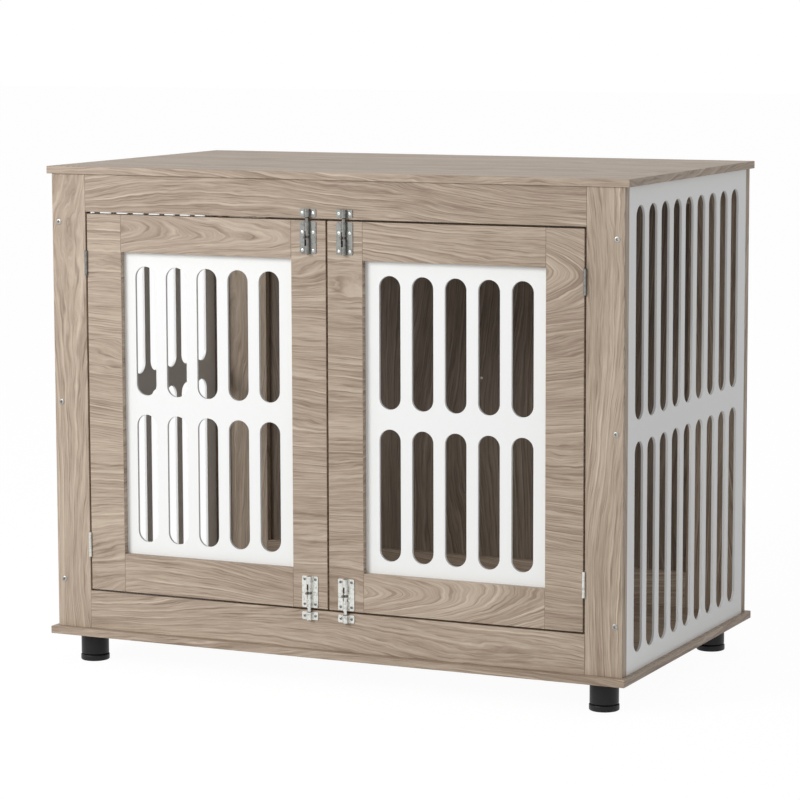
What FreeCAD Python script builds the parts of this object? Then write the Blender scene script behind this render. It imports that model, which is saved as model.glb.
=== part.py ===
import FreeCAD, Part
import math
import os

# Crate end table: a wooden cabinet on four levelling feet, with slotted white panels
# in its two sides and in its two front doors. Millimetres, X to the right, Y to the
# back, Z up, and the origin on the floor under the middle of the bottom board.

V = FreeCAD.Vector
X_AXIS, Y_AXIS, Z_AXIS = V(1, 0, 0), V(0, 1, 0), V(0, 0, 1)

# Cabinet
body_width = 984.0              # over the front stiles
body_depth = 570.0              # front face to back face, without the boards' overhang
body_height = 738.0             # between the bottom and the top board
bottom_thickness = 12.0
top_thickness = 12.0
side_overhang = 8.0             # both boards, each side
bottom_front_overhang = 12.0
bottom_back_overhang = 8.0
top_front_overhang = 3.0
top_back_overhang = 1.0
edge_round = 0.8                # eased arris of every board

# Front and back frames
frame_thickness = 18.0
front_stile_width = 61.0
front_top_rail_height = 60.0
front_bottom_rail_height = 62.0
back_stile_width = 98.0
back_rail_height = 60.0
back_panel_thickness = 6.0
back_rebate = 8.0               # the panel's lap on the frame
back_brace_width = 60.0
back_brace_thickness = 6.0

# Corner posts behind the frames, and the side panels on their outer faces
post_width = 16.0
post_depth = 17.0
side_panel_thickness = 4.0
side_slot_count = 9
side_slot_width = 36.0
side_slot_pitch = 54.0
side_slot_shift = {-1: -15.5, 1: -3.5}  # left and right row's middle, before the panel's
side_margin_bottom = 28.5
side_margin_top = 30.0
side_web = 33.0                 # between the lower and the upper row

# Doors
door_gap = 3.0                  # all round each door, and between the doors
hinge_stile_width = 62.0
latch_stile_width = 60.0
door_top_rail_height = 60.0
door_bottom_rail_height = 62.0
panel_thickness = 5.0
panel_setback = 10.0            # behind the door's face
panel_lap = 7.0                 # in the frame's groove
panel_play = 0.2                # on each face of the panel
groove_end_gap = 1.0            # past the panel's edge
door_slot_count = 5
door_slot_width = 36.0
door_slot_pitch = 55.4
door_margin_bottom = 20.5
door_margin_top = 22.5
door_web = 31.0
left_slot_shift = -3.0          # the left panel's row stands a little to the hinge side

# Hinges
hinge_height = 40.0
hinge_low_inset = 73.5          # lower hinge's middle to the door's end
hinge_high_inset = 79.0
hinge_pin_radius = 1.2
hinge_knuckle_radius = 2.5
hinge_proud = 1.5               # pin's axis in front of the door's face
hinge_leaf_thickness = 1.0
hinge_leaf_reach = 16.0         # leaf's far edge behind the door's face
hinge_running_gap = 0.05        # pin in its knuckles, each side
hinge_notch_gap = 0.35          # round the knuckles in the wood and the other leaf
hinge_screw_spread = 24.0
hinge_screw_depth = 10.0        # behind the door's face
hinge_screw_crown = 0.2         # of a leaf screw's head, above the leaf

# Barrel bolts
plate_width = 28.0
plate_length = 50.0
plate_metal = 1.2
plate_corner = 2.0
plate_inset = 1.5               # plate's end to the door's edge
bolt_radius = 3.0
bolt_height = 3.6               # bolt's axis in front of the door's face
bolt_running_gap = 0.05
bolt_tail_length = 4.0          # behind the knob
bolt_tip_gap = 0.5              # bolt's tip to the keeper at rest
bolt_chamfer = 0.8
bolt_draw = 12.0                # travel back from rest
bolt_throw = 7.0                # travel into the keeper
knob_inset = 23.7               # knob to the plate's end at rest
knob_stem_radius = 1.5
knob_ball_radius = 2.1
knob_reach = 6.6                # bolt's axis to the ball's middle
knob_neck_radius = 2.0
knob_collar_length = 4.6
knob_collar_gap = 0.3           # each end of the collar in its neck
knob_slot_gap = 0.5             # stem in the plate's slots
knob_rest_angle = -20.0         # from straight out, towards the viewer's left
knob_turn = 90.0
keeper_inset = 2.5              # keeper to the rail's edge
keeper_length = 12.5
keeper_bolt_gap = 0.3
plate_screw_spread = 18.6
upper_screw_rows = (16.6, 45.0)     # from the plate's keeper end
lower_screw_rows = (5.4, 45.0)

# Levelling feet
foot_height = 48.0
foot_inset = 52.0               # foot's middle to the bottom board's edges
foot_radius = 22.5
foot_wall = 3.0
foot_top_wall = 4.0
foot_boss_wall = 3.0
foot_boss_lift = 3.7            # boss above the sleeve's lower edge
foot_edge = 1.2                 # chamfers that make the groove
foot_ring_radius = 23.4
foot_ring_height = 10.0
foot_ring_gap = 0.3
foot_stem_radius = 8.0
foot_stem_length = 28.0
foot_running_gap = 0.1
foot_screw_circle = 15.0

# Fasteners
dowel_radius = 4.0
dowel_length = 30.0
dowel_gap = 0.05
dowel_end_gap = 0.5
dowel_inset = 18.0              # from a rail's edges
dowel_in_board = 8.0            # of a dowel's length, in the top or bottom board
frame_screw_inset = 77.5        # from the body's top and bottom
frame_screw_length = 32.0
frame_screw_radius = 2.5
frame_screw_head_radius = 4.6
frame_screw_head_height = 0.9
frame_screw_chamfer = 0.3
frame_screw_socket = 4.0        # across the flats of the hexagon
frame_screw_socket_depth = 0.6
small_screw_radius = 1.25
small_screw_head_radius = 2.4
small_screw_cone = 1.15
small_screw_crown = 0.5         # of a plate screw's head, above the plate
small_screw_length = 12.0
small_screw_slot = 0.5          # width and depth of the cross in the head
small_screw_slot_reach = 1.44   # of the cross's arms
brace_screw_spread = 32.0       # of the zigzag, from left to right
brace_screw_inset = 110.0       # from the back panel's ends
brace_screw_length = 10.5
foot_screw_length = 12.0
screw_gap = 0.05

# Places that follow from the sizes
board_width = body_width + 2 * side_overhang
bottom_depth = body_depth + bottom_front_overhang + bottom_back_overhang
half_body = body_width / 2
half_board = board_width / 2
front_y = bottom_front_overhang - bottom_depth / 2
back_y = front_y + body_depth
front_frame_back = front_y + frame_thickness
back_frame_front = back_y - frame_thickness
body_bottom = foot_height + bottom_thickness
body_top = body_bottom + body_height
opening_half = half_body - front_stile_width
door_bottom = body_bottom + front_bottom_rail_height + door_gap
door_top = body_top - front_top_rail_height - door_gap
door_width = opening_half - 1.5 * door_gap
hinge_axis_x = opening_half - door_gap / 2
hinge_axis_y = front_y - hinge_proud
latch_x = door_gap / 2 + latch_stile_width / 2
window_in = door_gap / 2 + latch_stile_width
window_out = door_gap / 2 + door_width - hinge_stile_width
window_bottom = door_bottom + door_bottom_rail_height
window_top = door_top - door_top_rail_height
back_opening_half = half_body - back_stile_width
back_panel_front = back_y - back_panel_thickness
post_outer = half_body - side_panel_thickness
screw_x = post_outer - post_width / 2
screw_levels = (body_bottom + frame_screw_inset, (body_bottom + body_top) / 2,
                body_top - frame_screw_inset)
knob_z = -plate_inset - knob_inset                 # from the door's edge, along the bolt
bolt_tip_z = door_gap + keeper_inset - bolt_tip_gap


def block(x0, x1, y0, y1, z0, z1):
    """A box between two corners, whichever way round they are given."""
    low = V(min(x0, x1), min(y0, y1), min(z0, z1))
    return Part.makeBox(abs(x1 - x0), abs(y1 - y0), abs(z1 - z0), low)


def board(x0, x1, y0, y1, z0, z1):
    """A board with eased edges."""
    blank = block(x0, x1, y0, y1, z0, z1)
    return blank.makeFillet(edge_round, blank.Edges)


def cut(shape, tools):
    """The shape without the tools."""
    return shape.cut(list(tools)) if tools else shape


def join(shapes):
    """One solid of several that overlap."""
    return shapes[0].fuse(shapes[1:]).removeSplitter()


def save(name, shape):
    """Write one sub-part, a solid or a list of separate solids."""
    if isinstance(shape, list):
        shape = Part.makeCompound([solid for part in shape for solid in part.Solids])
    elif len(shape.Solids) == 1:
        shape = shape.Solids[0]
    shape.exportStep(f"parts/{name}.step")


# Dowels

def dowel(middle, axis, offset=0.0):
    """A dowel and its hole, centred on the middle, or moved along the axis by the offset."""
    start = middle + axis * (offset - dowel_length / 2)
    pin = Part.makeCylinder(dowel_radius, dowel_length, start, axis)
    hole = Part.makeCylinder(dowel_radius + dowel_gap, dowel_length + 2 * dowel_end_gap,
                             start - axis * dowel_end_gap, axis)
    return pin, hole


def rail_dowels(joints, y, rails):
    """Two dowels through each joint of a rail with a stile."""
    return [dowel(V(x, y, z), X_AXIS)
            for x in joints for z0, z1 in rails
            for z in (z0 + dowel_inset, z1 - dowel_inset)]


def board_dowels(y, stile_x, rail_x):
    """The upright dowels between one frame and the two boards."""
    into_board = dowel_length / 2 - dowel_in_board
    places = (-stile_x, -rail_x, rail_x, stile_x)
    return ([dowel(V(x, y, body_bottom), Z_AXIS, into_board) for x in places]
            + [dowel(V(x, y, body_top), Z_AXIS, -into_board) for x in places])


# Screws

def frame_screw(x, y, z, into):
    """A long screw with a hexagon socket, and its hole. It goes into +Y or -Y from y."""
    axis = Y_AXIS * into
    shank = Part.makeCylinder(frame_screw_radius, frame_screw_length, V(x, y, z), axis)
    cap = Part.makeCylinder(frame_screw_head_radius, frame_screw_head_height,
                            V(x, y, z) - axis * frame_screw_head_height, axis)
    crown_y = y - into * frame_screw_head_height
    rim = [e for e in cap.Edges if abs(e.BoundBox.Center.y - crown_y) < 1e-6]
    cap = cap.makeChamfer(frame_screw_chamfer, rim)
    corner = frame_screw_socket / math.sqrt(3)
    hexagon = Part.makePolygon([
        V(x + corner * math.cos(math.radians(a)), crown_y, z + corner * math.sin(math.radians(a)))
        for a in range(0, 361, 60)])
    socket = Part.Face(hexagon).extrude(axis * frame_screw_socket_depth)
    hole = Part.makeCylinder(frame_screw_radius + screw_gap, frame_screw_length + dowel_end_gap,
                             V(x, y, z), axis)
    return join([shank, cap]).cut(socket), hole


def small_screw(point, axis, length=small_screw_length, crown=small_screw_crown):
    """A small countersunk screw with a cross in its crowned head, and its hole.

    The point is on the face that the head's cone is level with, and the axis points in.
    """
    cone = Part.makeCone(small_screw_head_radius, small_screw_radius, small_screw_cone,
                         point, axis)
    shank = Part.makeCylinder(small_screw_radius, length, point, axis)
    top = Part.makeCone(small_screw_head_radius - crown, small_screw_head_radius, crown,
                        point - axis * crown, axis)
    side = axis.cross(X_AXIS if abs(axis.x) < 0.5 else Z_AXIS)
    half = small_screw_slot / 2
    reach = small_screw_slot_reach
    cross = [Part.makeBox(2 * reach, small_screw_slot, small_screw_slot, V(-reach, -half, 0)),
             Part.makeBox(small_screw_slot, 2 * reach, small_screw_slot, V(-half, -reach, 0))]
    in_head = FreeCAD.Placement(point - axis * crown,
                                FreeCAD.Rotation(side, axis.cross(side), axis, "ZXY"))
    for arm in cross:
        arm.Placement = in_head
    body = join([cone, shank, top]).cut(cross)
    wide = Part.makeCone(small_screw_head_radius + screw_gap, small_screw_radius + screw_gap,
                         small_screw_cone, point, axis)
    deep = Part.makeCylinder(small_screw_radius + screw_gap, length + dowel_end_gap, point, axis)
    return body, join([wide, deep])


# Slotted panels

def slot(x, z0, z1, width, y0, depth):
    """A round-ended slot through a panel in the XZ plane."""
    radius = width / 2
    straight = block(x - radius, x + radius, y0, y0 + depth, z0 + radius, z1 - radius)
    ends = [Part.makeCylinder(radius, depth, V(x, y0, z), Y_AXIS)
            for z in (z0 + radius, z1 - radius)]
    return join([straight] + ends)


def slot_rows(middle, count, pitch, width, z0, z1, web, y0, depth):
    """Two rows of slots between z0 and z1, with a web between the rows."""
    height = (z1 - z0 - web) / 2
    first = middle - pitch * (count - 1) / 2
    return [slot(first + pitch * n, z, z + height, width, y0, depth)
            for n in range(count) for z in (z0, z1 - height)]


def side_panel(side):
    """A slotted side panel, made flat in the XZ plane and turned to its side."""
    length = back_frame_front - front_frame_back
    middle = length / 2
    flat = block(0, length, 0, side_panel_thickness, body_bottom, body_top)
    slots = slot_rows(middle + side_slot_shift[side], side_slot_count, side_slot_pitch,
                      side_slot_width, body_bottom + side_margin_bottom,
                      body_top - side_margin_top, side_web, -1, side_panel_thickness + 2)
    panel = cut(flat, slots)
    panel.rotate(V(0, 0, 0), Z_AXIS, 90)
    inner = side * post_outer + (side_panel_thickness if side > 0 else 0)
    panel.translate(V(inner, front_frame_back, 0))
    return panel


# Cabinet

def cabinet_fasteners():
    """All dowels and long screws of the cabinet, each with its hole."""
    front_mid = front_y + frame_thickness / 2
    back_mid = back_y - frame_thickness / 2
    front_rails = ((body_bottom, body_bottom + front_bottom_rail_height),
                   (body_top - front_top_rail_height, body_top))
    back_rails = ((body_bottom, body_bottom + back_rail_height),
                  (body_top - back_rail_height, body_top))
    dowels = (rail_dowels((-opening_half, opening_half), front_mid, front_rails)
              + rail_dowels((-back_opening_half, back_opening_half), back_mid, back_rails)
              + board_dowels(front_mid, half_body - front_stile_width / 2, opening_half / 2)
              + board_dowels(back_mid, half_body - back_stile_width / 2,
                             back_opening_half / 2))
    screws = [frame_screw(side * screw_x, face, z, into)
              for face, into in ((front_y, 1), (back_y, -1))
              for side in (-1, 1) for z in screw_levels]
    return dowels, screws


def hinge_middles():
    """Heights of a door's two hinges."""
    return (door_bottom + hinge_low_inset, door_top - hinge_high_inset)


def hinge_notches(side):
    """Room for the knuckles of one side's hinges, in the stile and in the door."""
    tall = hinge_height + 2 * hinge_notch_gap
    return [Part.makeCylinder(hinge_knuckle_radius + hinge_notch_gap, tall,
                              V(side * hinge_axis_x, hinge_axis_y, z - tall / 2))
            for z in hinge_middles()]


def front_frame(holes):
    """The two front stiles and the rails between them."""
    y0, y1 = front_y, front_frame_back
    for side, name in ((-1, "left"), (1, "right")):
        stile = board(side * half_body, side * opening_half, y0, y1, body_bottom, body_top)
        save(f"front_stile_{name}", cut(stile, holes + hinge_notches(side)))
    top = board(-opening_half, opening_half, y0, y1, body_top - front_top_rail_height, body_top)
    bottom = board(-opening_half, opening_half, y0, y1, body_bottom,
                   body_bottom + front_bottom_rail_height)
    save("front_top_rail", cut(top, holes))
    save("front_bottom_rail", cut(bottom, holes))


def back_frame(holes):
    """The back stiles and rails, and the panel in their rebate."""
    y0, y1 = back_frame_front, back_y
    inside_bottom = body_bottom + back_rail_height
    inside_top = body_top - back_rail_height
    rebate = block(-back_opening_half - back_rebate, back_opening_half + back_rebate,
                   back_panel_front, back_y + 1, inside_bottom - back_rebate,
                   inside_top + back_rebate)
    tools = holes + [rebate]
    for side, name in ((-1, "left"), (1, "right")):
        stile = board(side * half_body, side * back_opening_half, y0, y1,
                      body_bottom, body_top)
        save(f"back_stile_{name}", cut(stile, tools))
    low = board(-back_opening_half, back_opening_half, y0, y1, body_bottom, inside_bottom)
    high = board(-back_opening_half, back_opening_half, y0, y1, inside_top, body_top)
    save("back_bottom_rail", cut(low, tools))
    save("back_top_rail", cut(high, tools))
    panel = block(-back_opening_half - back_rebate, back_opening_half + back_rebate,
                  back_panel_front, back_y, inside_bottom - back_rebate,
                  inside_top + back_rebate)
    brace = board(-back_brace_width / 2, back_brace_width / 2, back_y,
                  back_y + back_brace_thickness, body_bottom, body_top)
    levels = (inside_bottom + brace_screw_inset, (inside_bottom + inside_top) / 2,
              inside_top - brace_screw_inset)
    screws = [small_screw(V(side * brace_screw_spread / 2, back_panel_front, z), Y_AXIS,
                          brace_screw_length)
              for side, z in zip((-1, 1, -1), levels)]
    brace_holes = [hole for _, hole in screws]
    save("back_panel", cut(panel, brace_holes))
    save("back_brace", cut(brace, brace_holes))
    save("brace_screws", [screw for screw, _ in screws])


def posts(holes):
    """The four corner posts that carry the side panels."""
    for end, y0, y1 in (("front", front_frame_back, front_frame_back + post_depth),
                        ("back", back_frame_front - post_depth, back_frame_front)):
        for side, name in ((-1, "left"), (1, "right")):
            post = board(side * (post_outer - post_width), side * post_outer, y0, y1,
                         body_bottom, body_top)
            save(f"{end}_post_{name}", cut(post, holes))


def cabinet():
    """Everything of the cabinet that stands still, apart from hardware and feet."""
    dowels, screws = cabinet_fasteners()
    holes = [hole for _, hole in dowels + screws]
    top_front = front_y - top_front_overhang
    top_back = back_y + top_back_overhang
    bottom_holes = holes + [hole for _, hole in foot_screws()]
    bottom = board(-half_board, half_board, -bottom_depth / 2, bottom_depth / 2,
                   foot_height, body_bottom)
    top = board(-half_board, half_board, top_front, top_back, body_top,
                body_top + top_thickness)
    save("bottom_board", cut(bottom, bottom_holes))
    save("top_board", cut(top, holes))
    front_frame(holes + frame_hinge_holes() + keeper_holes())
    back_frame(holes)
    posts(holes)
    save("side_panel_left", side_panel(-1))
    save("side_panel_right", side_panel(1))
    save("cabinet_dowels", [pin for pin, _ in dowels])
    save("frame_screws", [screw for screw, _ in screws])


# Hinges

def knuckle(x, z0, z1):
    """A rolled knuckle on the hinge's axis."""
    return Part.makeCylinder(hinge_knuckle_radius, z1 - z0, V(x, hinge_axis_y, z0))


def hinge_leaf(side, z, face_x, out, on_frame):
    """One leaf with its knuckles. The frame's has the two end knuckles, the door's the middle.

    face_x is the wood's edge, and out points from the wood into the gap.
    """
    x = side * hinge_axis_x
    low, high = z - hinge_height / 2, z + hinge_height / 2
    third = hinge_height / 3
    half_gap = hinge_notch_gap / 2
    if on_frame:
        spans = ((low, low + third - half_gap), (high - third + half_gap, high))
    else:
        spans = ((low + third + half_gap, high - third - half_gap),)
    clear_y = hinge_axis_y + hinge_knuckle_radius + hinge_notch_gap
    inner_x = face_x + out * hinge_leaf_thickness
    plate = block(face_x, inner_x, clear_y, front_y + hinge_leaf_reach, low, high)
    tabs = [block(face_x, inner_x, hinge_axis_y, clear_y, z0, z1) for z0, z1 in spans]
    leaf = join([plate] + tabs + [knuckle(x, z0, z1) for z0, z1 in spans])
    bore = Part.makeCylinder(hinge_pin_radius + hinge_running_gap, hinge_height + 2,
                             V(x, hinge_axis_y, low - 1))
    return leaf.cut(bore)


def leaf_screws(z, face_x, out):
    """The two screws of a leaf, which go into the wood behind it."""
    surface = face_x + out * hinge_leaf_thickness
    return [small_screw(V(surface, front_y + hinge_screw_depth, z + up), X_AXIS * -out,
                        crown=hinge_screw_crown)
            for up in (-hinge_screw_spread / 2, hinge_screw_spread / 2)]


def frame_leaf_screws():
    """The screws of the frame's leaves at both sides."""
    return [pair for side in (-1, 1) for z in hinge_middles()
            for pair in leaf_screws(z, side * opening_half, -side)]


def door_leaf_screws(side):
    """The screws of one door's leaves."""
    edge = side * (opening_half - door_gap)
    return [pair for z in hinge_middles() for pair in leaf_screws(z, edge, side)]


def frame_hinge_holes():
    """Screw holes of the frame's leaves."""
    return [hole for _, hole in frame_leaf_screws()]


def hinges():
    """All leaves and pins."""
    holes = frame_hinge_holes()
    frame_leaves = [cut(hinge_leaf(side, z, side * opening_half, -side, True), holes)
                    for side in (-1, 1) for z in hinge_middles()]
    save("hinge_frame_leaves", frame_leaves)
    pins = [Part.makeCylinder(hinge_pin_radius, hinge_height,
                              V(side * hinge_axis_x, hinge_axis_y, z - hinge_height / 2))
            for side in (-1, 1) for z in hinge_middles()]
    save("hinge_pins", pins)
    for side, name in ((-1, "left"), (1, "right")):
        edge = side * (opening_half - door_gap)
        door_holes = [hole for _, hole in door_leaf_screws(side)]
        leaves = [cut(hinge_leaf(side, z, edge, side, False), door_holes)
                  for z in hinge_middles()]
        save(f"{name}_hinge_leaves", leaves)


# Barrel bolts. Each is made with its door's edge at z = 0, its door's face at y = 0, the
# bolt along the Z axis towards the keeper, and is then set in place by place_bolt.

def place_bolt(shape, side, upper):
    """A copy of a barrel bolt's piece at one of its four places."""
    placed = shape.copy() if upper else shape.mirror(V(0, 0, 0), Z_AXIS)
    placed.translate(V(side * latch_x, front_y, door_top if upper else door_bottom))
    return placed


def arch(inner, z0, z1):
    """The half-round barrel over a bolt, with the room inside it."""
    outer = inner + plate_metal
    middle = V(0, -bolt_height, z0)
    shell = join([Part.makeCylinder(outer, z1 - z0, middle),
                  block(-outer, outer, -bolt_height, 0, z0, z1)])
    room = join([Part.makeCylinder(inner, z1 - z0 + 2, middle - Z_AXIS),
                 block(-inner, inner, -bolt_height, 1, z0 - 1, z1 + 1)])
    return shell, room


def flange(z0, z1):
    """The flat of a plate or keeper, with rounded corners."""
    flat = block(-plate_width / 2, plate_width / 2, -plate_metal, 0, z0, z1)
    corners = [e for e in flat.Edges if abs(e.Length - plate_metal) < 1e-6]
    return flat.makeFillet(plate_corner, corners)


def stem_slot(angle, z0, z1):
    """The room that the knob's stem needs in the barrel, at an angle from straight out."""
    half = knob_stem_radius + knob_slot_gap
    room = block(-half, half, -bolt_height - 2 * bolt_radius, -bolt_height, z0, z1)
    room.rotate(V(0, -bolt_height, 0), Z_AXIS, angle)
    return room


def turning_notch(z):
    """The notch across the barrel in which the knob turns."""
    half = knob_stem_radius + knob_slot_gap
    sweep = Part.makeCylinder(2 * bolt_radius, 2 * half, V(0, -bolt_height, z - half),
                              Z_AXIS, knob_turn)
    sweep.rotate(V(0, -bolt_height, 0), Z_AXIS, knob_rest_angle - 90)
    ends = [stem_slot(angle, z - half, z + half)
            for angle in (knob_rest_angle, knob_rest_angle + knob_turn)]
    return join([sweep] + ends)


def bolt_plate(holes):
    """The plate on the door: flange, barrel, long slot and the two notches."""
    z0, z1 = -plate_inset - plate_length, -plate_inset
    shell, room = arch(bolt_radius + bolt_running_gap, z0, z1)
    half = knob_stem_radius + knob_slot_gap
    long_slot = stem_slot(knob_rest_angle, knob_z - bolt_draw - half, knob_z + bolt_throw + half)
    notches = [turning_notch(knob_z), turning_notch(knob_z + bolt_throw)]
    return join([flange(z0, z1), shell]).cut([room, long_slot] + notches + holes)


def bolt_keeper(holes):
    """The keeper on the frame's rail."""
    z0 = door_gap + keeper_inset
    shell, room = arch(bolt_radius + keeper_bolt_gap, z0, z0 + keeper_length)
    return join([flange(z0, z0 + keeper_length), shell]).cut([room] + holes)


def bolt_rod():
    """The round bolt, with a neck for the knob's collar."""
    tail = knob_z - bolt_tail_length
    rod = Part.makeCylinder(bolt_radius, bolt_tip_z - tail, V(0, -bolt_height, tail))
    tip = [e for e in rod.Edges if e.BoundBox.ZMin > bolt_tip_z - 0.1]
    rod = rod.makeChamfer(bolt_chamfer, tip)
    half = knob_collar_length / 2 + knob_collar_gap
    ring = Part.makeCylinder(bolt_radius + 1, 2 * half, V(0, -bolt_height, knob_z - half))
    core = Part.makeCylinder(knob_neck_radius, 2 * half, V(0, -bolt_height, knob_z - half))
    return rod.cut(ring.cut(core))


def bolt_knob():
    """The knob: a collar on the bolt's neck, a stem and a ball."""
    half = knob_collar_length / 2
    middle = V(0, -bolt_height, knob_z)
    collar = Part.makeCylinder(bolt_radius, 2 * half, middle - Z_AXIS * half)
    stem = Part.makeCylinder(knob_stem_radius, knob_reach, middle, -Y_AXIS)
    ball = Part.makeSphere(knob_ball_radius, middle - Y_AXIS * knob_reach)
    bore = Part.makeCylinder(knob_neck_radius + bolt_running_gap, 2 * half + 2,
                             middle - Z_AXIS * (half + 1))
    knob = join([collar, stem, ball]).cut(bore)
    knob.rotate(middle, Z_AXIS, knob_rest_angle)
    return knob


def plate_screws(rows):
    """The four screws of a plate, on the face of its flange."""
    return [small_screw(V(side * plate_screw_spread / 2, -plate_metal, -plate_inset - row),
                        Y_AXIS)
            for row in rows for side in (-1, 1)]


def keeper_screws():
    """The two screws of a keeper."""
    z = door_gap + keeper_inset + keeper_length / 2
    return [small_screw(V(side * plate_screw_spread / 2, -plate_metal, z), Y_AXIS)
            for side in (-1, 1)]


def keeper_holes():
    """Screw holes of the four keepers, in place."""
    return [place_bolt(hole, side, upper)
            for side in (-1, 1) for upper in (True, False) for _, hole in keeper_screws()]


def plate_holes(side):
    """Screw holes of one door's two plates, in place."""
    return [place_bolt(hole, side, upper)
            for upper, rows in ((True, upper_screw_rows), (False, lower_screw_rows))
            for _, hole in plate_screws(rows)]


def barrel_bolts():
    """The plates, bolts, knobs and keepers of the four barrel bolts."""
    keeper = bolt_keeper([hole for _, hole in keeper_screws()])
    rod, knob = bolt_rod(), bolt_knob()
    keepers = []
    for side, name in ((-1, "left"), (1, "right")):
        plates = []
        for upper, level, rows in ((True, "top", upper_screw_rows),
                                   (False, "bottom", lower_screw_rows)):
            plate = bolt_plate([hole for _, hole in plate_screws(rows)])
            plates.append(place_bolt(plate, side, upper))
            keepers.append(place_bolt(keeper, side, upper))
            save(f"{name}_{level}_bolt", place_bolt(rod, side, upper))
            save(f"{name}_{level}_knob", place_bolt(knob, side, upper))
        save(f"{name}_bolt_plates", plates)
    save("bolt_keepers", keepers)


def hardware_screws():
    """The small screws of hinges, plates and keepers: one group on the frame, one a door."""
    on_frame = [screw for screw, _ in frame_leaf_screws()]
    on_frame += [place_bolt(screw, side, upper) for side in (-1, 1)
                 for upper in (True, False) for screw, _ in keeper_screws()]
    save("frame_hardware_screws", on_frame)
    for side, name in ((-1, "left"), (1, "right")):
        screws = [screw for screw, _ in door_leaf_screws(side)]
        screws += [place_bolt(screw, side, upper)
                   for upper, rows in ((True, upper_screw_rows), (False, lower_screw_rows))
                   for screw, _ in plate_screws(rows)]
        save(f"{name}_door_screws", screws)


# Doors

def door_dowels(side):
    """The dowels of one door's four joints."""
    rails = ((door_bottom, window_bottom), (window_top, door_top))
    return rail_dowels((side * window_in, side * window_out), front_y + frame_thickness / 2,
                       rails)


def door(side, name):
    """One door: two stiles, two rails and a slotted panel in their groove."""
    y0, y1 = front_y, front_frame_back
    dowels = door_dowels(side)
    panel_y = front_y + panel_setback
    reach = panel_lap + groove_end_gap
    groove = block(side * (window_in - reach), side * (window_out + reach),
                   panel_y - panel_play, panel_y + panel_thickness + panel_play,
                   window_bottom - reach, window_top + reach)
    holes = [hole for _, hole in dowels] + [groove]
    latch_edge = door_gap / 2
    hinge_edge = latch_edge + door_width
    latch = board(side * latch_edge, side * window_in, y0, y1, door_bottom, door_top)
    hinge = board(side * window_out, side * hinge_edge, y0, y1, door_bottom, door_top)
    leaf_holes = [hole for _, hole in door_leaf_screws(side)]
    save(f"{name}_door_latch_stile", cut(latch, holes + plate_holes(side)))
    save(f"{name}_door_hinge_stile", cut(hinge, holes + leaf_holes + hinge_notches(side)))
    low = board(side * window_in, side * window_out, y0, y1, door_bottom, window_bottom)
    high = board(side * window_in, side * window_out, y0, y1, window_top, door_top)
    save(f"{name}_door_bottom_rail", cut(low, holes))
    save(f"{name}_door_top_rail", cut(high, holes))
    save(f"{name}_door_dowels", [pin for pin, _ in dowels])
    panel = block(side * (window_in - panel_lap), side * (window_out + panel_lap), panel_y,
                  panel_y + panel_thickness, window_bottom - panel_lap, window_top + panel_lap)
    middle = side * (window_in + window_out) / 2 + (left_slot_shift if side < 0 else 0)
    slots = slot_rows(middle, door_slot_count, door_slot_pitch, door_slot_width,
                      window_bottom + door_margin_bottom, window_top - door_margin_top,
                      door_web, panel_y - 1, panel_thickness + 2)
    save(f"{name}_door_panel", cut(panel, slots))


# Feet

def foot_middles():
    """The names and the middles of the four feet."""
    x = half_board - foot_inset
    y = bottom_depth / 2 - foot_inset
    return (("front_left", -x, -y), ("front_right", x, -y),
            ("back_left", -x, y), ("back_right", x, y))


def foot_screws():
    """Two screws up through the top wall of each foot's sleeve, into the bottom board."""
    z = foot_height - foot_top_wall
    return [small_screw(V(x + side * foot_screw_circle, y, z), Z_AXIS, foot_screw_length)
            for _, x, y in foot_middles() for side in (-1, 1)]


def turned(profile, x, y):
    """A solid of revolution about the upright axis at x, y, from (radius, height) points."""
    points = [V(r, 0, z) for r, z in profile + profile[:1]]
    solid = Part.Face(Part.makePolygon(points)).revolve(V(0, 0, 0), Z_AXIS, 360)
    solid.translate(V(x, y, 0))
    return solid


def foot_sleeve(x, y):
    """The fixed sleeve: a cup, open below, with a boss for the adjuster's stem."""
    bottom = foot_ring_height + foot_ring_gap
    roof = foot_height - foot_top_wall
    boss_in = foot_stem_radius + foot_running_gap
    boss_out = boss_in + foot_boss_wall
    profile = [(0, foot_height), (foot_radius, foot_height), (foot_radius, bottom + foot_edge),
               (foot_radius - foot_edge, bottom), (foot_radius - foot_wall, bottom),
               (foot_radius - foot_wall, roof), (boss_out, roof),
               (boss_out, bottom + foot_boss_lift), (boss_in, bottom + foot_boss_lift),
               (boss_in, roof), (0, roof)]
    return turned(profile, x, y)


def foot_adjuster(x, y):
    """The part that stands on the floor: a ring with a stem that screws into the sleeve."""
    profile = [(0, 0), (foot_ring_radius - foot_edge, 0), (foot_ring_radius, foot_edge),
               (foot_ring_radius, foot_ring_height - foot_edge),
               (foot_ring_radius - foot_edge, foot_ring_height),
               (foot_stem_radius, foot_ring_height),
               (foot_stem_radius, foot_ring_height + foot_stem_length),
               (0, foot_ring_height + foot_stem_length)]
    return turned(profile, x, y)


def feet():
    """The four feet and their screws."""
    screws = foot_screws()
    holes = [hole for _, hole in screws]
    save("foot_sleeves", [cut(foot_sleeve(x, y), holes) for _, x, y in foot_middles()])
    for name, x, y in foot_middles():
        save(f"{name}_foot_adjuster", foot_adjuster(x, y))
    save("foot_screws", [screw for screw, _ in screws])


os.makedirs("parts", exist_ok=True)
cabinet()
hinges()
barrel_bolts()
hardware_screws()
door(-1, "left")
door(1, "right")
feet()
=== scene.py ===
"""The looks of a crate end table: printed woodgrain boards, white slotted panels, zinc
barrel bolts and butt hinges, and black levelling feet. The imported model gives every
board and fitting its place; what is made here is built onto it. Lengths are in metres.
"""

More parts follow.
